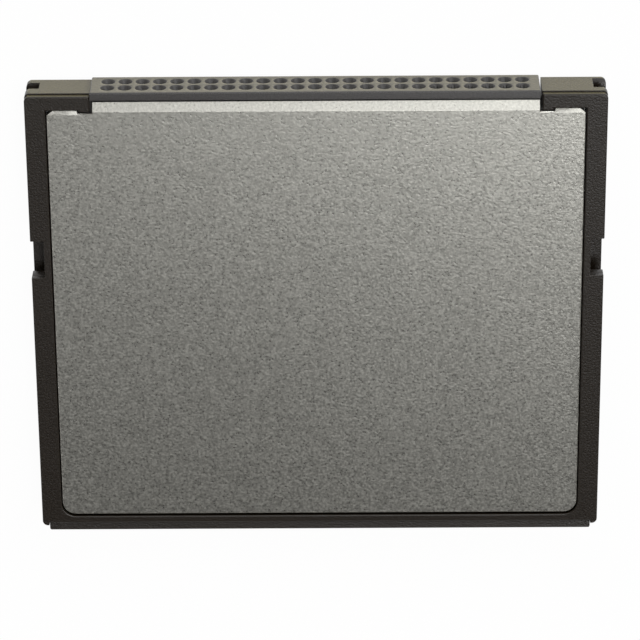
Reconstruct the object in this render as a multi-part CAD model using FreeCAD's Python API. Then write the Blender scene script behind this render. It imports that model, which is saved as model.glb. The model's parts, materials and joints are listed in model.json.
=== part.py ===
import FreeCAD, Part
import math
import os

V = FreeCAD.Vector

# Compact flash card, lying on its back face.
# X runs across the card, Y points to the connector edge and Z out of the front face.
# The origin is the middle of the back face.
# All sizes are in millimetres.

# Whole card
card_width = 42.8
card_length = 36.4
card_thick = 3.3
corner_radius = 0.4
edge_break = 0.06
level_tolerance = 0.005

# Base frame and front rim
rail_width = 1.53
tail_width = 0.81
ear_depth = 1.2
ear_setback = 0.18
rim_thick = 0.45
rim_setback = 0.12
rim_bay_setback = 0.06
rim_tail_step = 0.25
lip_shoulder = 0.11
lip_length = 0.56
lip_back_step = 0.45
lip_radius = 0.15
ear_width = 4.83
ear_tab_width = 0.85
ear_tab_reach = 0.16
window_radius = 1.1

# Guide slots and side notches
slot_depth = 1.01
slot_length = 25.78
slot_end_radius = 0.3
narrow_slot_height = 0.99
narrow_slot_low = 0.86
wide_slot_height = 1.6
wide_slot_low = 0.55
slot_lead_in = 0.15
slot_lead_length = 0.6
notch_start = 11.85
notch_length = 3.0

# Board ledge and locating bosses
ledge_thick = 0.5
ledge_width = 0.9
boss_radius = 0.65
boss_inset = 0.2
boss_clearance = 0.05
boss_distance = 4.1

# Steel covers
cover_thick = 0.15
cover_recess = 0.05
cover_gap = 0.06
cover_ear_gap = 0.06
cover_tail_gap = 0.17
cover_tab_gap = 0.09
cover_tab_side_gap = 0.05
cover_bend = 0.06
cover_ear_chamfer = 0.36
cover_ear_roll = 0.3
cover_ear_drop = 0.23
cover_ear_taper = 0.1
tongue_bend_reach = 0.09
tongue_drop = 0.31
tongue_gap = 0.22
tongue_side_gap = 0.14
snap_length = 1.2
snap_height = 0.4
snap_drop = 0.25
snaps_from_connector = (11.3, 19.9)
snaps_from_tail = (6.13, 4.43)

# Connector housing
pitch = 1.27
end_wall = 1.0
row_spacing = 1.27
nose_depth = 0.6
nose_chamfer = 0.1
side_play = 0.13
housing_depth = 5.5
shoulder_depth = 2.06
shoulder_gap = 0.26
rear_flare = 0.54
rear_step = 0.25
neck_clearance = 0.03
mouth_diameter = 1.03
mouth_sides = 10
throat_diameter = 0.6
lead_in_depth = 0.45
cavity_width = 0.62
cavity_height = 0.74
rear_wall = 0.9

# Contacts
contact_width = 0.32
stem_thick = 0.15
fork_back = 0.3
fork_outside = 0.66
fork_mouth = 0.56
fork_arm = 0.12
fork_tip = 0.45
tail_straight = 0.2
tail_slope = 0.35
foot_length = 1.1

# Connector hold-downs
hold_width = 1.2
hold_thick = 0.15
hold_inside = 0.8
hold_outside = 1.4

# Circuit board
board_thick = 0.6
board_gap = 0.1
board_front_gap = 0.25
board_arm_gap = 0.2
board_radius = 0.9

# Chip packages
chip_standoff = 0.1
chip_headroom = 0.05
chip_draft = 0.08
lead_thick = 0.12
lead_reach = 0.35
lead_width = 0.22
mark_diameter = 1.0
mark_sides = 8
mark_depth = 0.05

# Controller
controller_side = 12.0
controller_lead_extent = 1.0
controller_lead_pitch = 0.65
controller_lead_margin = 1.0

# Memory chips
memory_length = 18.4
memory_width = 12.0
memory_lead_extent = 0.8
memory_lead_pitch = 0.5
memory_lead_margin = 0.2

# Voltage regulator
regulator_length = 2.9
regulator_width = 1.6
regulator_lead_extent = 0.6
regulator_lead_pitch = 0.95
regulator_lead_width = 0.4

# Small board parts
crystal_length = 3.2
crystal_width = 2.5
crystal_height = 0.7
crystal_lid_height = 0.2
crystal_lid_inset = 0.2
bulk_length = 3.2
bulk_width = 1.6
bulk_height = 0.8
capacitor_length = 1.0
capacitor_width = 0.5
capacitor_height = 0.5
resistor_length = 1.0
resistor_width = 0.5
resistor_height = 0.35
end_cap_length = 0.25
end_cap_thick = 0.03
array_length = 2.0
array_width = 1.0
array_height = 0.45
array_terminals = 4
array_terminal_width = 0.3
array_terminal_proud = 0.04

# Places on the board
chip_gap = 1.2
row_gap = 0.4
power_spacing = 4.6
array_spacing = 7.0
array_count = 2
front_capacitor_spacing = 3.4
front_capacitor_count = 3
back_capacitor_spacing = 9.0
back_capacitor_count = 3
back_capacitor_gap = 1.8
resistor_spacing = 3.0
resistor_count = 3

# Insulating films
film_thick = 0.05
film_side_gap = 1.6
film_tail_gap = 0.9
film_front_gap = 0.9

# Places that follow from the sizes above
half_width = card_width / 2
connector_y = card_length / 2
tail_y = lip_length - card_length / 2
ear_y = connector_y - ear_setback
ear_back_y = ear_y - ear_depth
ear_tab_y = ear_back_y - ear_tab_reach
seam_z = card_thick - rim_thick
middle_z = card_thick / 2
window_half = half_width - rail_width
window_tail_y = tail_y + tail_width
lip_half = half_width - corner_radius - lip_shoulder
bay_half = half_width - ear_width
ear_tab_half = bay_half + ear_tab_width
board_low = middle_z - board_thick / 2
board_top = middle_z + board_thick / 2
cover_top = card_thick - cover_recess
cover_inside = cover_top - cover_thick
cover_half = window_half - cover_gap
cover_tail_y = window_tail_y + cover_tail_gap
cover_ear_y = ear_back_y - cover_ear_gap
ear_bend_y = cover_ear_y - cover_ear_roll
tab_y = ear_tab_y - cover_tab_gap
tab_half = ear_tab_half + cover_tab_side_gap
nose_back_y = connector_y - nose_depth
tongue_end_y = nose_back_y - tongue_gap
bend_y = tab_y + tongue_bend_reach
rear_y = connector_y - housing_depth
shoulder_back_y = ear_tab_y - shoulder_depth
arm_y = shoulder_back_y - board_arm_gap
socket_z = row_spacing / 2
rear_half = bay_half + rear_flare
shoulder_half = cover_half - cover_thick - shoulder_gap
heel_y = rear_y - tail_straight - tail_slope
toe_y = heel_y - foot_length
board_tail_y = window_tail_y + board_gap
free_middle_y = (toe_y + board_tail_y) / 2
chip_low = board_top + chip_standoff
chip_top = cover_inside - film_thick - chip_headroom
lead_leave_z = (chip_low + chip_top) / 2
controller_span = controller_side + 2 * controller_lead_extent
controller_x = -(chip_gap + memory_width) / 2
front_memory_place = ((chip_gap + controller_span) / 2, free_middle_y)
back_memory_place = (0.0, free_middle_y)
clear_of_card = card_width


def centred(count, spacing):
    """List the places of a row, one spacing apart, around its middle."""
    return [(i - (count - 1) / 2) * spacing for i in range(count)]


def spread(length, margin, spacing):
    """List the places, one spacing apart, that fit in a length between its margins."""
    return centred(int((length - 2 * margin) / spacing) + 1, spacing)


def stack_down(start, depths):
    """List the middle of each row, the rows standing one gap apart towards the tail."""
    middles = []
    for depth in depths:
        middles.append(start - row_gap - depth / 2)
        start -= row_gap + depth
    return middles


def arc_corner(before, corner, after, radius):
    """Return the start, middle and end of the round that replaces one corner."""
    to_before = before.sub(corner).normalize()
    to_after = after.sub(corner).normalize()
    half_turn = to_before.getAngle(to_after) / 2
    reach = radius / math.tan(half_turn)
    start = corner.add(V(to_before).multiply(reach))
    end = corner.add(V(to_after).multiply(reach))
    bisector = to_before.add(to_after).normalize()
    centre = corner.add(V(bisector).multiply(radius / math.sin(half_turn)))
    middle = centre.sub(V(bisector).multiply(radius))
    return start, middle, end


def rounded_face(corners):
    """Make a flat face at Z zero from (x, y, radius) corners."""
    points = [V(x, y, 0) for x, y, radius in corners]
    edges = []
    ends = []
    for i, (x, y, radius) in enumerate(corners):
        before = points[i - 1]
        after = points[(i + 1) % len(points)]
        if radius > 0:
            start, middle, end = arc_corner(before, points[i], after, radius)
            ends.append((start, end, Part.Arc(start, middle, end).toShape()))
        else:
            ends.append((points[i], points[i], None))
    for i, (start, end, arc) in enumerate(ends):
        if arc:
            edges.append(arc)
        edges.append(Part.makeLine(end, ends[(i + 1) % len(ends)][0]))
    return Part.Face(Part.Wire(edges))


def plan_prism(corners, low, high):
    """Extrude a plan outline of (x, y, radius) corners from low to high."""
    face = rounded_face(corners)
    face.translate(V(0, 0, low))
    return face.extrude(V(0, 0, high - low))


def side_prism(points, left, right):
    """Extrude a (y, z) outline across the card from left to right."""
    loop = [V(left, y, z) for y, z in points]
    face = Part.Face(Part.makePolygon(loop + loop[:1]))
    return face.extrude(V(right - left, 0, 0))


def block(left, right, back, front, low, high):
    """Make a plain block from its limits along X, Y and Z."""
    return Part.makeBox(right - left, front - back, high - low, V(left, back, low))


def mirrored_corners(right_half):
    """Close an outline from its right half, listed from the tail to the connector."""
    left_half = [(-x, y, radius) for x, y, radius in reversed(right_half)]
    return right_half + left_half


def flip(shape):
    """Mirror a shape from the front half of the card to the back half."""
    return shape.mirror(V(0, 0, middle_z), V(0, 0, 1))


def across(shape):
    """Mirror a shape from the right side of the card to the left."""
    return shape.mirror(V(0, 0, 0), V(1, 0, 0))


def break_edges(shape, level):
    """Take the sharpness off every edge that lies in one level plane."""
    flat = []
    for edge in shape.Edges:
        box = edge.BoundBox
        if max(abs(box.ZMin - level), abs(box.ZMax - level)) < level_tolerance:
            flat.append(edge)
    return shape.makeChamfer(edge_break, flat)


def cover_window(bay, low, high):
    """Make the opening that a steel cover sits in, with the ears' tabs left standing."""
    right_half = [
        (window_half, window_tail_y, window_radius),
        (window_half, ear_back_y, 0),
        (ear_tab_half, ear_back_y, 0),
        (ear_tab_half, ear_tab_y, 0),
        (bay, ear_tab_y, 0),
        (bay, connector_y, 0),
    ]
    return plan_prism(mirrored_corners(right_half), low, high)


def guide_slot(low, height):
    """Make the cutter for the guide slot in the right rail."""
    inner = half_width - slot_depth
    end_y = connector_y - slot_length
    high = low + height
    corners = [
        (inner, end_y, slot_end_radius),
        (clear_of_card, end_y, 0),
        (clear_of_card, connector_y, 0),
        (inner, connector_y, 0),
    ]
    slot = plan_prism(corners, low, high)
    mouth = [
        (ear_y - slot_lead_length, low),
        (ear_y, low - slot_lead_in),
        (connector_y, low - slot_lead_in),
        (connector_y, high),
        (ear_y - slot_lead_length, high),
    ]
    return slot.fuse(side_prism(mouth, inner, clear_of_card))


def side_notch(low):
    """Make the cutter for the notch in front of the right guide slot."""
    start_y = connector_y - notch_start
    inner = half_width - slot_depth
    return block(inner, clear_of_card, start_y - notch_length, start_y, low, clear_of_card)


def rail_cutters():
    """Return the guide slots and notches of both rails."""
    narrow_notch = side_notch(narrow_slot_low + narrow_slot_height / 2)
    wide_notch = side_notch(wide_slot_low + wide_slot_height / 2)
    return [
        across(guide_slot(narrow_slot_low, narrow_slot_height)),
        across(narrow_notch),
        guide_slot(wide_slot_low, wide_slot_height),
        wide_notch,
    ]


def board_ledge():
    """Make the ledge along the rails and tail that the circuit board rests on."""
    reach = window_half - ledge_width
    right_half = [
        (half_width - slot_depth, window_tail_y - tail_width / 2, 0),
        (half_width - slot_depth, arm_y, 0),
        (reach, arm_y, 0),
        (reach, window_tail_y + ledge_width, 0),
    ]
    return plan_prism(mirrored_corners(right_half), board_low - ledge_thick, board_low)


def boss_centres():
    """List the places of the bosses that locate the board."""
    y = window_tail_y + boss_distance
    return [(side * (window_half + boss_inset), y) for side in (-1, 1)]


def frame():
    """Make the moulded base frame, up to the parting line under the front rim."""
    right_half = [
        (half_width, tail_y, corner_radius),
        (half_width, ear_y, corner_radius),
        (bay_half, ear_y, 0),
        (bay_half, ear_tab_y, 0),
        (window_half, ear_tab_y, 0),
        (window_half, window_tail_y, window_radius),
    ]
    body = plan_prism(mirrored_corners(right_half), 0, seam_z)
    body = break_edges(body, 0)
    lip = plan_prism(
        [
            (-lip_half, -connector_y, lip_radius),
            (lip_half, -connector_y, lip_radius),
            (lip_half, tail_y + tail_width / 2, 0),
            (-lip_half, tail_y + tail_width / 2, 0),
        ],
        lip_back_step,
        seam_z,
    )
    body = body.fuse([lip, board_ledge()])
    for x, y in boss_centres():
        body = body.fuse(Part.makeCylinder(boss_radius, board_thick, V(x, y, board_low)))
    body = body.cut(rail_cutters() + [cover_window(bay_half, -rim_thick, rim_thick)])
    return body.removeSplitter()


def front_rim():
    """Make the thin moulded rim on top of the base frame."""
    right_half = [
        (lip_half, tail_y + rim_tail_step, 0),
        (lip_half, tail_y, 0),
        (half_width, tail_y, corner_radius),
        (half_width, ear_y - rim_setback, corner_radius),
    ]
    blank = plan_prism(mirrored_corners(right_half), seam_z, card_thick)
    rim = blank.cut(cover_window(bay_half + rim_bay_setback, 0, clear_of_card))
    rim = break_edges(rim, card_thick)
    return rim.cut(rail_cutters()).removeSplitter()


def bent_sheet(bend, end, drop):
    """Return the (y, z) outline of sheet that slopes down from a bend to its end."""
    slope = math.atan2(drop, end - bend)
    return [
        (bend, cover_top),
        (end, cover_top - drop),
        (end - cover_thick * math.sin(slope), cover_top - drop - cover_thick * math.cos(slope)),
        (bend - cover_thick * math.tan(slope / 2), cover_inside),
    ]


def ear_lip():
    """Make the strip of the front cover that rolls down behind the right ear."""
    corners = [
        (tab_half, 0, 0),
        (cover_half - cover_bend, 0, 0),
        (cover_half - cover_bend, ear_bend_y, 0),
        (cover_half - cover_ear_chamfer, cover_ear_y, 0),
        (tab_half + cover_ear_taper, cover_ear_y, 0),
        (tab_half, ear_bend_y, 0),
    ]
    sheet = side_prism(bent_sheet(ear_bend_y, cover_ear_y, cover_ear_drop), tab_half, cover_half)
    return sheet.common(plan_prism(corners, 0, card_thick))


def cover(flange_foot):
    """Make the front steel cover with flanges that reach down to flange_foot."""
    tongue_half = bay_half - tongue_side_gap
    radius = window_radius - cover_gap
    right_half = [
        (cover_half, cover_tail_y, radius),
        (cover_half, ear_bend_y, 0),
        (tab_half, ear_bend_y, 0),
        (tab_half, tab_y, 0),
        (tongue_half, tab_y, 0),
        (tongue_half, bend_y, 0),
    ]
    blank = plan_prism(mirrored_corners(right_half), flange_foot, cover_top)
    rolled = []
    for edge in blank.Edges:
        box = edge.BoundBox
        if box.ZMin > cover_inside and box.YMin < ear_bend_y - level_tolerance:
            rolled.append(edge)
    blank = blank.makeChamfer(cover_bend, rolled)
    inner_half = cover_half - cover_thick
    hollow = [
        (inner_half, cover_tail_y + cover_thick, radius - cover_thick),
        (inner_half, connector_y, 0),
    ]
    shell = blank.cut(plan_prism(mirrored_corners(hollow), 0, cover_inside))
    tongue = side_prism(bent_sheet(bend_y, tongue_end_y, tongue_drop), -tongue_half, tongue_half)
    lip = ear_lip()
    places = [connector_y - distance for distance in snaps_from_connector]
    places += [cover_tail_y + distance for distance in snaps_from_tail]
    snaps = []
    for y in places:
        snap = snap_tab(y)
        snaps += [snap, across(snap)]
    return shell.fuse([tongue, lip, across(lip)] + snaps).removeSplitter()


def snap_tab(y):
    """Make one lanced tab that springs out of the right flange to the rail."""
    high = cover_top - snap_drop
    wedge = [
        V(cover_half, y - snap_length / 2, high - snap_height),
        V(window_half, y - snap_length / 2, high),
        V(cover_half, y - snap_length / 2, high),
    ]
    return Part.Face(Part.makePolygon(wedge + wedge[:1])).extrude(V(0, snap_length, 0))


def column_places():
    """List the X of each socket column; the housing lies against the left ear."""
    nose_width = 2 * bay_half - side_play
    return [offset - side_play / 2 for offset in spread(nose_width, end_wall, pitch)]


def many_sided(diameter, sides):
    """List the offsets of a closed many-sided outline around its centre."""
    turns = [2 * math.pi * i / sides for i in range(sides + 1)]
    return [(diameter / 2 * math.cos(turn), diameter / 2 * math.sin(turn)) for turn in turns]


def mouth_outline(diameter, x, y, z):
    """Make one cross-section of a socket's mouth, facing the connector edge."""
    return Part.makePolygon([V(x + a, y, z + b) for a, b in many_sided(diameter, mouth_sides)])


def socket(x):
    """Make the cutter for one front-row socket, from its tapered mouth to the back."""
    z = middle_z + socket_z
    cone_end = connector_y - lead_in_depth
    cavity_end = rear_y + rear_wall
    outer = mouth_outline(mouth_diameter, x, connector_y, z)
    throat = mouth_outline(throat_diameter, x, cone_end, z)
    mouth = Part.makeLoft([outer, throat], True, True)
    cavity = block(
        x - cavity_width / 2, x + cavity_width / 2, cavity_end, cone_end,
        z - cavity_height / 2, z + cavity_height / 2,
    )
    slot = block(
        x - contact_width / 2, x + contact_width / 2, rear_y, cavity_end,
        z - stem_thick / 2, z + stem_thick / 2,
    )
    return [mouth, cavity, slot]


def connector_housing():
    """Make the moulded receptacle as its plan outline crossed with its side outline."""
    neck_z = cover_top - tongue_drop - cover_thick - neck_clearance
    plan = [
        (-rear_half, rear_y, 0),
        (rear_half, rear_y, 0),
        (rear_half, shoulder_back_y, 0),
        (shoulder_half, shoulder_back_y, 0),
        (shoulder_half, ear_tab_y, 0),
        (bay_half - side_play, ear_tab_y, 0),
        (bay_half - side_play, connector_y, nose_chamfer),
        (-bay_half, connector_y, nose_chamfer),
        (-bay_half, ear_tab_y, 0),
        (-shoulder_half, ear_tab_y, 0),
        (-shoulder_half, shoulder_back_y, 0),
        (-rear_half, shoulder_back_y, 0),
    ]
    front_half = [
        (rear_y, cover_inside - rear_step),
        (shoulder_back_y, cover_inside - rear_step),
        (shoulder_back_y, cover_inside),
        (ear_bend_y - cover_thick, cover_inside),
        (ear_bend_y - cover_thick, neck_z),
        (nose_back_y, neck_z),
        (nose_back_y, card_thick),
        (connector_y - nose_chamfer, card_thick),
        (connector_y, card_thick - nose_chamfer),
    ]
    side = front_half + [(y, card_thick - z) for y, z in reversed(front_half)]
    body = plan_prism(plan, 0, card_thick).common(side_prism(side, -half_width, half_width))
    cutters = []
    for x in column_places():
        for cutter in socket(x):
            cutters += [cutter, flip(cutter)]
    cutters += [hold_down_bar(side) for side in (-1, 1)]
    return body.cut(cutters)


def contact(x):
    """Make one stamped fork contact of the front row, with its foot on the board."""
    z = middle_z + socket_z
    stem = stem_thick / 2
    root_y = rear_y + rear_wall + fork_back
    tip_y = connector_y - lead_in_depth - fork_tip
    outside = fork_outside / 2
    mouth = fork_mouth / 2
    outline = [
        (root_y - fork_back, z + stem),
        (root_y, z + outside),
        (tip_y, z + mouth),
        (tip_y, z + mouth - fork_arm),
        (root_y + fork_arm, z),
        (tip_y, z - mouth + fork_arm),
        (tip_y, z - mouth),
        (root_y, z - outside),
        (root_y - fork_back, z - stem),
        (rear_y - tail_straight, z - stem),
        (heel_y, board_top),
        (toe_y, board_top),
        (toe_y, board_top + stem_thick),
        (heel_y, board_top + stem_thick),
        (rear_y - tail_straight, z + stem),
    ]
    return side_prism(outline, x - contact_width / 2, x + contact_width / 2)


def front_row_contacts():
    """Make the front row of contacts as separate solids."""
    return Part.makeCompound([contact(x) for x in column_places()])


def back_row_contacts():
    """Make the back row, which mirrors the front one across the board."""
    return flip(front_row_contacts())


def hold_down_bar(side):
    """Make one solder tab that runs from a connector shoulder onto the board."""
    middle = side * (rear_half + shoulder_half) / 2
    return block(
        middle - hold_width / 2, middle + hold_width / 2,
        shoulder_back_y - hold_outside, shoulder_back_y + hold_inside,
        board_top, board_top + hold_thick,
    )


def connector_hold_downs():
    """Make both solder tabs."""
    return Part.makeCompound([hold_down_bar(-1), hold_down_bar(1)])


def circuit_board():
    """Make the board, with a bay for the connector and notches for the bosses."""
    half = window_half - board_gap
    bay = rear_half + board_front_gap
    right_half = [
        (half, board_tail_y, board_radius),
        (half, arm_y, 0),
        (bay, arm_y, 0),
        (bay, rear_y - board_front_gap, board_front_gap),
    ]
    board = plan_prism(mirrored_corners(right_half), board_low, board_top)
    radius = boss_radius + boss_clearance
    notches = [Part.makeCylinder(radius, card_thick, V(x, y, 0)) for x, y in boss_centres()]
    return board.cut(notches)


def mark_cutter(x, y, low):
    """Make the cutter for the dimple that marks pin one."""
    points = [V(x + a, y + b, low) for a, b in many_sided(mark_diameter, mark_sides)]
    return Part.Face(Part.makePolygon(points)).extrude(V(0, 0, card_thick))


def chip_body(length, width, place, marked=True):
    """Make a moulded package with drafted sides and, if marked, a pin-one dimple."""
    levels = [
        (chip_low, chip_draft),
        (lead_leave_z - lead_thick / 2, 0),
        (lead_leave_z + lead_thick / 2, 0),
        (chip_top, chip_draft),
    ]
    wires = []
    for z, draft in levels:
        a = length / 2 - draft
        b = width / 2 - draft
        loop = [V(-a, -b, z), V(a, -b, z), V(a, b, z), V(-a, b, z)]
        wires.append(Part.makePolygon(loop + loop[:1]))
    body = Part.makeLoft(wires, True, True)
    if marked:
        x = mark_diameter - length / 2
        y = mark_diameter - width / 2
        body = body.cut(mark_cutter(x, y, chip_top - mark_depth))
    body.translate(V(place[0], place[1], 0))
    return body


def gull_lead(start, extent, offset, width):
    """Make one gull-wing lead that leaves a package along +Y at start."""
    high = lead_leave_z + lead_thick / 2
    heel = start + lead_reach
    end = start + extent
    outline = [
        (start, high - lead_thick),
        (heel, board_top),
        (end, board_top),
        (end, board_top + lead_thick),
        (heel + lead_thick, board_top + lead_thick),
        (start, high),
    ]
    return side_prism(outline, offset - width / 2, offset + width / 2)


def lead_row(offsets, start, extent, width, turn, place):
    """Make one side's leads, turned about the package and moved to its place."""
    leads = []
    for offset in offsets:
        lead = gull_lead(start, extent, offset, width)
        lead.rotate(V(0, 0, 0), V(0, 0, 1), turn)
        lead.translate(V(place[0], place[1], 0))
        leads.append(lead)
    return leads


def left_rows():
    """List the Y of the arrays, controller, power parts, capacitors and resistors."""
    depths = (
        array_width + 2 * array_terminal_proud,
        controller_span,
        regulator_width + 2 * regulator_lead_extent,
        capacitor_width + 2 * end_cap_thick,
        resistor_width + 2 * end_cap_thick,
    )
    return stack_down(toe_y, depths)


array_y, controller_y, power_y, capacitor_y, resistor_y = left_rows()


def power_place(step):
    """Return the place of one of the three parts in the power row."""
    return controller_x + step * power_spacing, power_y


def controller_chip():
    """Make the controller's package."""
    return chip_body(controller_side, controller_side, (controller_x, controller_y))


def controller_leads():
    """Make the controller's leads on all four sides."""
    offsets = spread(controller_side, controller_lead_margin, controller_lead_pitch)
    place = (controller_x, controller_y)
    leads = []
    for turn in (0, 90, 180, 270):
        leads += lead_row(
            offsets, controller_side / 2, controller_lead_extent, lead_width, turn, place
        )
    return Part.makeCompound(leads)


def memory_leads(turns, place):
    """Make the leads at the two short ends of a memory chip."""
    offsets = spread(memory_width, memory_lead_margin, memory_lead_pitch)
    leads = []
    for turn in turns:
        leads += lead_row(
            offsets, memory_length / 2, memory_lead_extent, lead_width, turn, place
        )
    return Part.makeCompound(leads)


def front_memory_chip():
    """Make the memory chip beside the controller, its length along the card."""
    return chip_body(memory_width, memory_length, front_memory_place)


def front_memory_leads():
    """Make the front memory chip's leads."""
    return memory_leads((0, 180), front_memory_place)


def back_memory_chip():
    """Make the memory chip on the board's other side, its length across the card."""
    return flip(chip_body(memory_length, memory_width, back_memory_place))


def back_memory_leads():
    """Make the back memory chip's leads."""
    return flip(memory_leads((90, 270), back_memory_place))


def voltage_regulator():
    """Make the regulator's small package."""
    return chip_body(regulator_length, regulator_width, power_place(1), marked=False)


def regulator_leads():
    """Make the regulator's leads, three on one side and two on the other."""
    sides = (
        (180, centred(3, regulator_lead_pitch)),
        (0, centred(2, 2 * regulator_lead_pitch)),
    )
    leads = []
    for turn, offsets in sides:
        leads += lead_row(
            offsets, regulator_width / 2, regulator_lead_extent,
            regulator_lead_width, turn, power_place(1),
        )
    return Part.makeCompound(leads)


def seated_block(length, width, height, place, lift=0.0):
    """Make a block centred on a place, standing on the board or lifted from it."""
    x, y = place
    low = board_top + lift
    return block(x - length / 2, x + length / 2, y - width / 2, y + width / 2, low, low + height)


def clock_crystal():
    """Make the crystal: a ceramic base under a smaller metal lid."""
    base_height = crystal_height - crystal_lid_height
    place = power_place(-1)
    base = seated_block(crystal_length, crystal_width, base_height, place)
    inset = 2 * crystal_lid_inset
    lid = seated_block(
        crystal_length - inset, crystal_width - inset, crystal_lid_height,
        place, base_height,
    )
    return base.fuse(lid).removeSplitter()


def two_ended(length, width, height, place):
    """Make a chip component with a slightly thicker metal cap at each end."""
    body = seated_block(length, width, height, place, end_cap_thick)
    parts = []
    for side in (-1, 1):
        x = place[0] + side * (length - end_cap_length) / 2
        cap_width = width + 2 * end_cap_thick
        cap_height = height + 2 * end_cap_thick
        parts.append(seated_block(end_cap_length, cap_width, cap_height, (x, place[1])))
    return body.fuse(parts).removeSplitter()


def bulk_capacitor():
    """Make the large supply capacitor."""
    return two_ended(bulk_length, bulk_width, bulk_height, power_place(0))


def row_places(middle, y, count, spacing):
    """List the places of a row of small parts around its middle."""
    return [(middle + offset, y) for offset in centred(count, spacing)]


def ceramic_capacitors():
    """Make the small capacitors on both sides of the board."""
    sizes = (capacitor_length, capacitor_width, capacitor_height)
    back_y = free_middle_y - memory_width / 2 - back_capacitor_gap
    front = row_places(controller_x, capacitor_y, front_capacitor_count, front_capacitor_spacing)
    back = row_places(0, back_y, back_capacitor_count, back_capacitor_spacing)
    parts = [two_ended(*sizes, place) for place in front]
    parts += [flip(two_ended(*sizes, place)) for place in back]
    return Part.makeCompound(parts)


def chip_resistors():
    """Make the row of chip resistors."""
    sizes = (resistor_length, resistor_width, resistor_height)
    places = row_places(controller_x, resistor_y, resistor_count, resistor_spacing)
    return Part.makeCompound([two_ended(*sizes, place) for place in places])


def resistor_array(place):
    """Make one resistor array with terminals along both long sides."""
    body = seated_block(array_length, array_width, array_height, place)
    step = array_length / array_terminals
    bars = []
    wide = array_width + 2 * array_terminal_proud
    for bar_place in row_places(place[0], place[1], array_terminals, step):
        bars.append(seated_block(array_terminal_width, wide, array_height / 2, bar_place))
    return body.fuse(bars).removeSplitter()


def resistor_arrays():
    """Make the arrays between the connector and the controller."""
    places = row_places(controller_x, array_y, array_count, array_spacing)
    return Part.makeCompound([resistor_array(place) for place in places])


def front_insulator():
    """Make the insulating film bonded to the inside of the front cover."""
    half = window_half - film_side_gap
    corners = [
        (half, window_tail_y + film_tail_gap, 0),
        (half, rear_y - film_front_gap, 0),
    ]
    return plan_prism(mirrored_corners(corners), cover_inside - film_thick, cover_inside)


def back_insulator():
    """Make the matching film inside the back cover."""
    return flip(front_insulator())


def front_cover():
    """Make the front cover; its flanges stand on the board's edges."""
    return cover(board_top)


def back_cover():
    """Make the back cover; its flanges meet the underside of the board ledge."""
    return flip(cover(card_thick - (board_low - ledge_thick)))


PIECES = (
    frame,
    front_rim,
    front_cover,
    back_cover,
    connector_housing,
    front_row_contacts,
    back_row_contacts,
    connector_hold_downs,
    circuit_board,
    controller_chip,
    controller_leads,
    front_memory_chip,
    front_memory_leads,
    back_memory_chip,
    back_memory_leads,
    voltage_regulator,
    regulator_leads,
    clock_crystal,
    bulk_capacitor,
    ceramic_capacitors,
    chip_resistors,
    resistor_arrays,
    front_insulator,
    back_insulator,
)


def main():
    """Write one file for each piece."""
    os.makedirs("parts", exist_ok=True)
    for piece in PIECES:
        piece().exportStep("parts/" + piece.__name__ + ".step")


main()
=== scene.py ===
import json
import math

import bmesh
import bpy
from mathutils import Matrix, Vector


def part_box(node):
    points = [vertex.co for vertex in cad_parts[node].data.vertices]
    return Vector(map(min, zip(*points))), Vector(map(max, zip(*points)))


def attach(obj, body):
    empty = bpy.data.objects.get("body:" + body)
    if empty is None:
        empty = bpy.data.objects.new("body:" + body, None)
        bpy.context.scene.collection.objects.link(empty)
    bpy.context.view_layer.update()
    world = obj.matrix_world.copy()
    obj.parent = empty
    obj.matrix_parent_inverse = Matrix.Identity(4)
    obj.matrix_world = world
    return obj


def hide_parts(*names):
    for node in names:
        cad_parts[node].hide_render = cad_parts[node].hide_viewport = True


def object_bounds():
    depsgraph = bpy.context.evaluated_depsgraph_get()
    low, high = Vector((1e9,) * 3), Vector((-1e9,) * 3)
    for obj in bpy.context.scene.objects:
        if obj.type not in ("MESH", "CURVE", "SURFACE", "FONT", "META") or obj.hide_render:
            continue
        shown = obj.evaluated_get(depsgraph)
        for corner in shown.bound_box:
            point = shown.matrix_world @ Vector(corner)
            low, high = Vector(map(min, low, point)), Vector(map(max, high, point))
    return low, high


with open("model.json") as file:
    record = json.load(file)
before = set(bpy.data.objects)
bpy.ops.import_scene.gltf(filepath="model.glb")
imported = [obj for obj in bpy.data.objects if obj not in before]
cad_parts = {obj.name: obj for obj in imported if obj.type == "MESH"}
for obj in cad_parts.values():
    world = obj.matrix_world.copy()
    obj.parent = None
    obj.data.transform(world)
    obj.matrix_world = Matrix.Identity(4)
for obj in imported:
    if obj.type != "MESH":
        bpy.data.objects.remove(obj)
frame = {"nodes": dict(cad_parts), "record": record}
cad_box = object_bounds()
nodes_by_name = frame["nodes"]

# All lengths are in metres, in the card's own frame: X across, Y to the connector, Z up.
millimetre = 0.001

# Camera, at the photograph's viewing angle
camera_place = Vector((0.002325, 0.114907, 0.249818))
camera_tilt = math.radians(-25.029)
camera_roll_across = math.radians(0.455)
camera_turn = math.radians(-0.292)
camera_lens = 203.41
camera_sensor = 36.0
camera_near = 0.01
camera_far = 10.0

# Stage
floor_gap = 0.02 * millimetre
floor_half = 1.5
floor_colour = (0.9, 0.9, 0.9)
floor_roughness = 0.9
floor_shadow_share = 0.04
background_white = (1.0, 1.0, 1.0)

# Lamps: place, the two sides of the rectangle, and power
lamps = {
    "sky": ((0.42, 0.50, 0.75), (0.8, 1.2), 5.3),
    "top": ((0.14, -0.04, 0.80), (0.3, 0.3), 2.2),
    "fill": ((-0.35, -0.25, 0.70), (0.3, 0.3), 0.28),
    "front": ((0.0, 0.90, 0.42), (1.1, 0.6), 3.0),
    "side": ((-0.25, 0.54, 0.78), (0.14, 0.14), 0.2),
}

# World: its light low down and overhead, and the sines of the heights between which it changes
world_low = (0.58, 0.56, 0.53)
world_high = (0.02, 0.018, 0.0156)
world_low_top = 0.42
world_high_start = 0.62

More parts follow.
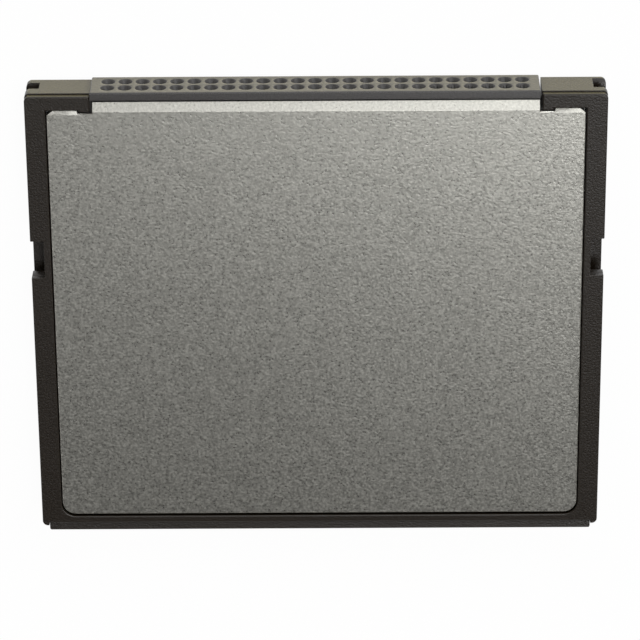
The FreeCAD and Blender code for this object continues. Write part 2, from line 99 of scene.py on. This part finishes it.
# Grain of every finish: detail, and the noise values of its darkest, lightest and middle colour
grain_detail = 1.5
grain_low = 0.3
grain_high = 0.7
grain_middle = 0.5

# The steel's grain in its colour, at shares of the card's length from the tail
steel_contrast = 0.28
grain_shares = ((0.0, 1.0), (0.85, 0.7), (0.93, 0.45))

# The two plastics: their gloss, the texture of level faces, and a painted reflection on the end
# faces, a warm sheen laid only on faces near the connector end that face it
plastic_specular = 0.45
plastic_bump = 0.016 * millimetre
face_texture = 0.2
painted_reflection_weight = 0.66
painted_reflection_roughness = 0.4
painted_reflection_tint = (1.0, 0.90, 0.50)
painted_reflection_start = 17.2 * millimetre
painted_reflection_full = 17.6 * millimetre
facing_start = 0.8

# Edge rounding of the refined pieces
moulded_edge = 0.03 * millimetre
sheet_edge = 0.04 * millimetre
sheet_roll = 0.09 * millimetre
crisp_bend = 0.006 * millimetre
edge_segments = 3
sharp_angle = math.radians(15)
# Hollow edges shorter than this stay sharp: rounding them would reach past the CAD box
short_edge = 0.11 * millimetre
flat_normal_weight = 90
weld_distance = 0.001 * millimetre
flat_angle = math.radians(0.6)

# Facings at a bend and at a rolled edge: level and slope are a normal's Z, towards is its Y
bend_level = 0.999
bend_slope = (0.5, 0.99)
bend_towards = 0.2
roll_level = 0.95
roll_towards = 0.9

# Strips of the front cover behind the ears
lip_inside = 17.0 * millimetre
lip_fall = 0.1 * millimetre
lip_rise = 0.1 * millimetre
lip_reach = 0.04 * millimetre
lip_trim = 0.11 * millimetre

# Pull lip
pull_lip_edge = 0.1 * millimetre
pull_lip_slope = 0.07

# Connector mouths, with the two rows in pitches from the middle
mouth_pitch = 1.27 * millimetre
mouth_columns = 25
mouth_rows = (-0.5, 0.5)
mouth_radius = 0.515 * millimetre
throat_radius = 0.3 * millimetre
mouth_depth = 0.45 * millimetre
mouth_segments = 40
mouth_corners = ((1, 1), (-1, 1), (-1, -1), (1, -1))
face_tolerance = 0.005 * millimetre


# Materials

def make_material(name):
    """Return a new node material, its tree and its surface shader."""
    material = bpy.data.materials.new(name)
    material.use_nodes = True
    tree = material.node_tree
    return material, tree, tree.nodes["Principled BSDF"]


def add_noise(tree, scale):
    """Add a noise texture in the card's own coordinates and return its output."""
    coordinates = tree.nodes.new("ShaderNodeTexCoord")
    texture = tree.nodes.new("ShaderNodeTexNoise")
    texture.inputs["Scale"].default_value = scale
    texture.inputs["Detail"].default_value = grain_detail
    tree.links.new(coordinates.outputs["Object"], texture.inputs["Vector"])
    return texture.outputs["Fac"]


def add_ramp(tree, source, stops):
    """Map a value to colours given as (position, colour) stops, in rising order."""
    ramp = tree.nodes.new("ShaderNodeValToRGB")
    elements = ramp.color_ramp.elements
    for position, _ in stops[len(elements):]:
        elements.new(position)
    for element, (position, colour) in zip(elements, stops):
        element.position = position
        element.color = (*colour, 1.0)
    tree.links.new(source, ramp.inputs["Fac"])
    return ramp.outputs["Color"]


def add_range(tree, source, low, high, start=0.0, end=1.0):
    """Map a value from the range start to end to the range low to high."""
    node = tree.nodes.new("ShaderNodeMapRange")
    node.inputs["From Min"].default_value = start
    node.inputs["From Max"].default_value = end
    node.inputs["To Min"].default_value = low
    node.inputs["To Max"].default_value = high
    tree.links.new(source, node.inputs["Value"])
    return node.outputs["Result"]


def add_math(tree, operation, first, second):
    """Return the result of one sum on an output and a second output or plain number."""
    node = tree.nodes.new("ShaderNodeMath")
    node.operation = operation
    tree.links.new(first, node.inputs[0])
    if isinstance(second, float):
        node.inputs[1].default_value = second
    else:
        tree.links.new(second, node.inputs[1])
    return node.outputs["Value"]


def add_split(tree, output):
    """Return X, Y and Z of the place (Object), the facing (Normal) or the ray (Generated)."""
    coordinates = tree.nodes.new("ShaderNodeTexCoord")
    split = tree.nodes.new("ShaderNodeSeparateXYZ")
    tree.links.new(coordinates.outputs[output], split.inputs["Vector"])
    return split.outputs


def add_bump(tree, shader, source, height):
    """Bump the surface by a value, height being its full depth in metres."""
    bump = tree.nodes.new("ShaderNodeBump")
    bump.inputs["Distance"].default_value = height
    bump.inputs["Strength"].default_value = 1.0
    tree.links.new(source, bump.inputs["Height"])
    tree.links.new(bump.outputs["Normal"], shader.inputs["Normal"])


def shade(colour, factor):
    """Return a colour made lighter or darker by a factor."""
    return tuple(channel * factor for channel in colour)


def grained(name, colour, contrast, grain, roughness, bump, metallic=0.0):
    """Make a material with fine grain in its colour, roughness and surface."""
    material, tree, shader = make_material(name)
    shader.inputs["Metallic"].default_value = metallic
    fine = add_noise(tree, grain)
    stops = [(grain_low, shade(colour, 1 - contrast)), (grain_high, shade(colour, 1 + contrast))]
    tree.links.new(add_ramp(tree, fine, stops), shader.inputs["Base Color"])
    low, high = roughness
    tree.links.new(add_range(tree, fine, low, high), shader.inputs["Roughness"])
    add_bump(tree, shader, fine, bump)
    return material


def add_painted_reflection(material):
    """Paint a reflection on a plastic's end faces beside the connector: a warm sheen, lit by the
    lamps, only on the faces there that face the connector end.
    """
    tree = material.node_tree
    shader = tree.nodes["Principled BSDF"]
    # Painted reflection: the sheen is masked to faces near the connector end that face it,
    # standing in for the lit floor they mirror
    near = add_range(tree, add_split(tree, "Object")["Y"], 0.0, painted_reflection_weight, painted_reflection_start, painted_reflection_full)
    facing = add_range(tree, add_split(tree, "Normal")["Y"], 0.0, 1.0, facing_start, 1.0)
    tree.links.new(add_math(tree, "MULTIPLY", near, facing), shader.inputs["Sheen Weight"])
    shader.inputs["Sheen Roughness"].default_value = painted_reflection_roughness
    shader.inputs["Sheen Tint"].default_value = (*painted_reflection_tint, 1.0)


def add_face_texture(material):
    """Make the faces that lie level rougher than the smooth mouths and ends."""
    tree = material.node_tree
    roughness = tree.nodes["Principled BSDF"].inputs["Roughness"]
    level = add_range(tree, add_split(tree, "Normal")["Z"], 0.0, face_texture, facing_start, 1.0)
    tree.links.new(add_math(tree, "ADD", roughness.links[0].from_socket, level), roughness)


def calm_grain(material):
    """Let the grain in the steel's colour grow weaker from the tail to the tongue."""
    tree = material.node_tree
    ramp = next(node for node in tree.nodes if node.type == "VALTORGB")
    grain = ramp.inputs["Fac"].links[0].from_socket
    place = add_split(tree, "Object")["Y"]
    along = add_range(tree, place, 0.0, 1.0, cad_box[0].y, cad_box[1].y)
    strength = add_ramp(tree, along, [(share, (kept,) * 3) for share, kept in grain_shares])
    swing = add_math(tree, "SUBTRACT", grain, grain_middle)
    calmed = add_math(tree, "MULTIPLY", swing, strength)
    tree.links.new(add_math(tree, "ADD", calmed, grain_middle), ramp.inputs["Fac"])


def make_materials():
    """Return the material of every slot in the record."""
    slots = {
        "frame_plastic": grained(
            "moulded_black",
            colour=(0.0085, 0.0050, 0.0018),
            contrast=0.3,
            grain=7000,
            roughness=(0.24, 0.46),
            bump=plastic_bump,
        ),
        "connector_plastic": grained(
            "connector_black",
            colour=(0.050, 0.048, 0.048),
            contrast=0.2,
            grain=7000,
            roughness=(0.26, 0.40),
            bump=plastic_bump,
        ),
        "cover_steel": grained(
            "satin_steel",
            colour=(0.505, 0.50, 0.46),
            contrast=steel_contrast,
            grain=6000,
            roughness=(0.25, 0.33),
            bump=0.007 * millimetre,
            metallic=1.0,
        ),
        "contact_metal": grained(
            "gold_plate",
            colour=(0.83, 0.62, 0.27),
            contrast=0.06,
            grain=9000,
            roughness=(0.22, 0.34),
            bump=0.001 * millimetre,
            metallic=1.0,
        ),
        "tinned_metal": grained(
            "tin_plate",
            colour=(0.66, 0.66, 0.64),
            contrast=0.08,
            grain=8000,
            roughness=(0.3, 0.46),
            bump=0.002 * millimetre,
            metallic=1.0,
        ),
        "board_laminate": grained(
            "solder_mask",
            colour=(0.012, 0.11, 0.045),
            contrast=0.12,
            grain=3600,
            roughness=(0.3, 0.42),
            bump=0.003 * millimetre,
        ),
        "chip_epoxy": grained(
            "moulding_compound",
            colour=(0.018, 0.018, 0.02),
            contrast=0.2,
            grain=9000,
            roughness=(0.5, 0.66),
            bump=0.003 * millimetre,
        ),
        "capacitor_ceramic": grained(
            "fired_ceramic",
            colour=(0.33, 0.2, 0.1),
            contrast=0.1,
            grain=9000,
            roughness=(0.35, 0.5),
            bump=0.001 * millimetre,
        ),
        "resistor_ceramic": grained(
            "glazed_alumina",
            colour=(0.03, 0.03, 0.034),
            contrast=0.12,
            grain=9000,
            roughness=(0.28, 0.42),
            bump=0.001 * millimetre,
        ),
        "insulating_film": grained(
            "amber_film",
            colour=(0.42, 0.17, 0.02),
            contrast=0.06,
            grain=2600,
            roughness=(0.2, 0.32),
            bump=0.001 * millimetre,
        ),
    }
    # Both plastics get the painted reflection on their end faces
    for plastic in (slots["frame_plastic"], slots["connector_plastic"]):
        shader = plastic.node_tree.nodes["Principled BSDF"]
        shader.inputs["Specular IOR Level"].default_value = plastic_specular
        add_painted_reflection(plastic)
    add_face_texture(slots["connector_plastic"])
    calm_grain(slots["cover_steel"])
    return slots


# Refined pieces

def paint(piece, material):
    """Give a piece one material."""
    piece.data.materials.clear()
    piece.data.materials.append(material)


def paint_nodes():
    """Give every CAD node the material of its slot in the record."""
    for subpart in frame["record"]["subparts"]:
        paint(nodes_by_name[subpart["node"]], materials[subpart["material_slot"]])


def welded_copy(node):
    """Return the CAD node's mesh as one welded shape without needless edges."""
    shape = bmesh.new()
    shape.from_mesh(nodes_by_name[node].data)
    bmesh.ops.remove_doubles(shape, verts=shape.verts, dist=weld_distance)
    bmesh.ops.dissolve_limit(
        shape, angle_limit=flat_angle, verts=shape.verts, edges=shape.edges
    )
    return shape


def edge_width_at(edge, edge_width, roll_width):
    """Return how wide a sharp edge is rounded: rolled sheet edges most and bends least."""
    if not roll_width:
        return edge_width
    lower, upper = sorted(face.normal.z for face in edge.link_faces)
    towards = max(face.normal.y for face in edge.link_faces)
    low_slope, high_slope = bend_slope
    if upper > bend_level and low_slope < lower < high_slope and towards > bend_towards:
        return crisp_bend
    if upper > roll_level and towards > roll_towards:
        return roll_width
    return edge_width


def weigh_edges(shape, edge_width, roll_width):
    """Mark each sharp edge for rounding, by its share of the widest rounding."""
    weight = shape.edges.layers.float.new("bevel_weight_edge")
    widest = roll_width or edge_width
    for edge in shape.edges:
        if len(edge.link_faces) != 2 or edge.calc_face_angle() < sharp_angle:
            continue
        if not edge.is_convex and edge.calc_length() < short_edge:
            continue
        edge[weight] = edge_width_at(edge, edge_width, roll_width) / widest


def round_edges(piece, width, harden):
    """Round a piece's marked edges, with hardened or weighted normals on its flat faces."""
    bevel = piece.modifiers.new("rounded_edges", "BEVEL")
    bevel.width = width
    bevel.segments = edge_segments
    bevel.limit_method = "WEIGHT"
    bevel.use_clamp_overlap = False
    bevel.face_strength_mode = "FSTR_ALL"
    bevel.harden_normals = harden
    if not harden:
        normals = piece.modifiers.new("flat_faces", "WEIGHTED_NORMAL")
        normals.weight = flat_normal_weight
        normals.use_face_influence = True


def refined_piece(
    node, name, slot_name, edge_width, roll_width=None, reshape=None, harden=False
):
    """Replace a CAD node by a copy of it with welded faces and rounded edges."""
    shape = welded_copy(node)
    if reshape:
        reshape(shape)
    shape.normal_update()
    weigh_edges(shape, edge_width, roll_width)
    mesh = bpy.data.meshes.new(name)
    shape.to_mesh(mesh)
    shape.free()
    mesh.shade_smooth()
    piece = bpy.data.objects.new(name, mesh)
    bpy.context.scene.collection.objects.link(piece)
    round_edges(piece, roll_width or edge_width, harden)
    paint(piece, materials[slot_name])
    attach(piece, "root")
    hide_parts(node)


# Small shapes that only the render shows

def ease_lips(shape):
    """Ease the slope of the two strips behind the ears and trim their outer corners."""
    top = max(vertex.co.z for vertex in shape.verts)
    slopes = []
    for edge in shape.edges:
        one, other = edge.verts
        falls = abs(one.co.z - other.co.z) > lip_fall and abs(one.co.y - other.co.y) > lip_fall
        outside = min(abs(one.co.x), abs(other.co.x)) > lip_inside
        if falls and outside and max(one.co.z, other.co.z) > top - weld_distance:
            slopes.append(edge)
    ends = {min(edge.verts, key=lambda vertex: vertex.co.z) for edge in slopes}
    widest = max(abs(vertex.co.x) for vertex in ends)
    for vertex in ends:
        vertex.co.y += lip_reach
        vertex.co.z += lip_rise
        if abs(vertex.co.x) > widest - lip_fall:
            vertex.co.x -= math.copysign(lip_trim, vertex.co.x)


def tilt_pull_lip(shape):
    """Raise the top of the pull lip a little towards the tail."""
    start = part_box("front_rim")[0].y
    top = max(vertex.co.z for vertex in shape.verts)
    faces = [f for f in shape.faces if min(v.co.z for v in f.verts) > top - pull_lip_edge]
    edges = {edge for face in faces for edge in face.edges}
    corners = {vertex for face in faces for vertex in face.verts}
    upper = [*corners, *edges, *faces]
    bmesh.ops.bisect_plane(shape, geom=upper, plane_co=(0, start, 0), plane_no=(0, 1, 0))
    for vertex in shape.verts:
        if vertex.co.y < start and vertex.co.z > top - pull_lip_edge:
            vertex.co.z += (start - vertex.co.y) * pull_lip_slope


def mouth_centres():
    """List the (x, z) of every mouth, taken from the contacts that stand behind them."""
    low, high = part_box("front_row_contacts")
    middle_x = (low.x + high.x) / 2
    middle_z = (cad_box[0].z + cad_box[1].z) / 2
    centres = []
    for row in mouth_rows:
        for column in range(mouth_columns):
            offset = column - (mouth_columns - 1) / 2
            centres.append((middle_x + offset * mouth_pitch, middle_z + row * mouth_pitch))
    return centres


def is_mouth_or_face(face, front):
    """Tell whether a face is the connector's end face or one wall of a mouth."""
    depths = [front - vertex.co.y for vertex in face.verts]
    on_face = max(depths) < face_tolerance
    reaches_throat = abs(max(depths) - mouth_depth) < face_tolerance
    return on_face or (min(depths) < face_tolerance and reaches_throat)


def ring(shape, x, y, z, radius):
    """Add one ring of points around a mouth's middle."""
    points = []
    for i in range(mouth_segments):
        turn = 2 * math.pi * i / mouth_segments
        place = (x + radius * math.cos(turn), y, z + radius * math.sin(turn))
        points.append(shape.verts.new(place))
    return points


def round_mouth(shape, x, z, front, corner):
    """Build one cell of the end face with its tapered mouth."""
    rim = ring(shape, x, front, z, mouth_radius)
    throat = ring(shape, x, front - mouth_depth, z, throat_radius)
    for i in range(mouth_segments):
        after = (i + 1) % mouth_segments
        shape.faces.new((rim[i], rim[after], throat[after], throat[i]))
    half = mouth_pitch / 2
    corners = [corner(x + across * half, z + up * half) for across, up in mouth_corners]
    quarter = mouth_segments // len(corners)
    for turn in range(len(corners)):
        arc = [rim[(turn * quarter + i) % mouth_segments] for i in range(quarter + 1)]
        shape.faces.new([corners[turn]] + arc[::-1])
        shape.faces.new([corners[turn], arc[-1], corners[(turn + 1) % len(corners)]])


def round_mouths(shape):
    """Swap the many-sided mouths of the connector for round ones."""
    front = max(vertex.co.y for vertex in shape.verts)
    doomed = [face for face in shape.faces if is_mouth_or_face(face, front)]
    points = [vertex.co.copy() for face in doomed for vertex in face.verts]
    on_face = [point for point in points if front - point.y < face_tolerance]
    left = min(point.x for point in on_face)
    right = max(point.x for point in on_face)
    low = min(point.z for point in on_face)
    high = max(point.z for point in on_face)
    bmesh.ops.delete(shape, geom=doomed, context="FACES")
    corners = {}

    def corner(x, z):
        key = (round(x / face_tolerance), round(z / face_tolerance))
        if key not in corners:
            corners[key] = shape.verts.new((x, front, z))
        return corners[key]

    for x, z in mouth_centres():
        round_mouth(shape, x, z, front, corner)
    add_border(shape, corner, front, (left, right, low, high))


def add_border(shape, corner, front, limits):
    """Fill the end face between the block of mouths and its outline."""
    left, right, low, high = limits
    centres = mouth_centres()
    columns = sorted({x for x, z in centres})
    rows = sorted({z for x, z in centres})
    half = mouth_pitch / 2
    line_x = [columns[0] - half] + [x + half for x in columns]
    line_z = [rows[0] - half] + [z + half for z in rows]
    outline = {
        (x, z): shape.verts.new((x, front, z)) for x in (left, right) for z in (low, high)
    }
    bottom = [corner(x, line_z[0]) for x in line_x]
    top = [corner(x, line_z[-1]) for x in line_x]
    west = [corner(line_x[0], z) for z in line_z]
    east = [corner(line_x[-1], z) for z in line_z]
    shape.faces.new([outline[left, low], outline[right, low]] + bottom[::-1])
    shape.faces.new([outline[right, high], outline[left, high]] + top)
    shape.faces.new([outline[left, high], outline[left, low]] + west)
    shape.faces.new([outline[right, low], outline[right, high]] + east[::-1])
    bmesh.ops.remove_doubles(shape, verts=shape.verts, dist=weld_distance)
    bmesh.ops.recalc_face_normals(shape, faces=shape.faces)


# Lamps, camera, floor and world

def add_lamp(name, place, size, power):
    """Add a soft rectangular lamp that faces the card."""
    data = bpy.data.lights.new(name, "AREA")
    data.shape = "RECTANGLE"
    data.size, data.size_y = size
    data.energy = power
    lamp = bpy.data.objects.new(name, data)
    lamp.location = place
    lamp.rotation_mode = "QUATERNION"
    lamp.rotation_quaternion = Vector(place).to_track_quat("Z", "Y")
    bpy.context.scene.collection.objects.link(lamp)


def add_camera():
    """Add the camera that took the photograph's view."""
    data = bpy.data.cameras.new("camera")
    data.lens = camera_lens
    data.sensor_width = camera_sensor
    data.clip_start = camera_near
    data.clip_end = camera_far
    camera = bpy.data.objects.new("camera", data)
    turn = (
        Matrix.Rotation(camera_tilt, 4, "X")
        @ Matrix.Rotation(camera_roll_across, 4, "Y")
        @ Matrix.Rotation(camera_turn, 4, "Z")
    )
    camera.matrix_world = Matrix.Translation(camera_place) @ turn
    bpy.context.scene.collection.objects.link(camera)
    bpy.context.scene.camera = camera


def add_mix(tree, share, plain, seen):
    """Return a shader that goes from the plain one to the seen one by a share."""
    mix = tree.nodes.new("ShaderNodeMixShader")
    tree.links.new(share, mix.inputs["Fac"])
    tree.links.new(plain, mix.inputs[1])
    tree.links.new(seen, mix.inputs[2])
    return mix.outputs["Shader"]


def background_switch(tree):
    """Return 1 where the background itself is seen, also in metal or glass."""
    path = tree.nodes.new("ShaderNodeLightPath")
    seen = add_math(tree, "MAXIMUM", path.outputs["Is Camera Ray"], path.outputs["Is Glossy Ray"])
    return add_math(tree, "MAXIMUM", seen, path.outputs["Is Transmission Ray"])


def add_floor():
    """Add the white floor, which keeps a faint shadow of the card."""
    mesh = bpy.data.meshes.new("floor")
    low = cad_box[0].z - floor_gap
    sides = [(-1, -1), (1, -1), (1, 1), (-1, 1)]
    corners = [(x * floor_half, y * floor_half, low) for x, y in sides]
    mesh.from_pydata(corners, [], [(0, 1, 2, 3)])
    floor = bpy.data.objects.new("floor", mesh)
    bpy.context.scene.collection.objects.link(floor)
    material, tree, shader = make_material("floor_white")
    shader.inputs["Base Color"].default_value = (*floor_colour, 1.0)
    shader.inputs["Roughness"].default_value = floor_roughness
    glow = tree.nodes.new("ShaderNodeEmission")
    share = add_math(tree, "MULTIPLY", background_switch(tree), 1 - floor_shadow_share)
    mixed = add_mix(tree, share, shader.outputs["BSDF"], glow.outputs["Emission"])
    tree.links.new(mixed, tree.nodes["Material Output"].inputs["Surface"])
    paint(floor, material)


def set_world():
    """Light the card softly, most from low down, in front of a white background."""
    world = bpy.data.worlds.new("studio")
    bpy.context.scene.world = world
    world.use_nodes = True
    tree = world.node_tree
    soft = tree.nodes["Background"]
    height = add_split(tree, "Generated")["Z"]
    levels = [(world_low_top, world_low), (world_high_start, world_high)]
    tree.links.new(add_ramp(tree, height, levels), soft.inputs["Color"])
    white = tree.nodes.new("ShaderNodeBackground")
    white.inputs["Color"].default_value = (*background_white, 1.0)
    path = tree.nodes.new("ShaderNodeLightPath")
    seen = path.outputs["Is Camera Ray"]
    mixed = add_mix(tree, seen, soft.outputs["Background"], white.outputs["Background"])
    tree.links.new(mixed, tree.nodes["World Output"].inputs["Surface"])


# The scene

materials = make_materials()
paint_nodes()
refined_piece("frame", "base_moulding", "frame_plastic", moulded_edge, reshape=tilt_pull_lip)
refined_piece("front_rim", "front_rim_moulding", "frame_plastic", moulded_edge)
refined_piece("front_cover", "front_shell", "cover_steel", sheet_edge, sheet_roll, ease_lips)
refined_piece("back_cover", "back_shell", "cover_steel", sheet_edge)
refined_piece(
    "connector_housing",
    "receptacle",
    "connector_plastic",
    moulded_edge,
    reshape=round_mouths,
    harden=True,
)
add_camera()
add_floor()
set_world()
for lamp_name, (lamp_place, lamp_size, lamp_power) in lamps.items():
    add_lamp(lamp_name, lamp_place, lamp_size, lamp_power)

scene = bpy.context.scene
scene.view_settings.view_transform = "Standard"
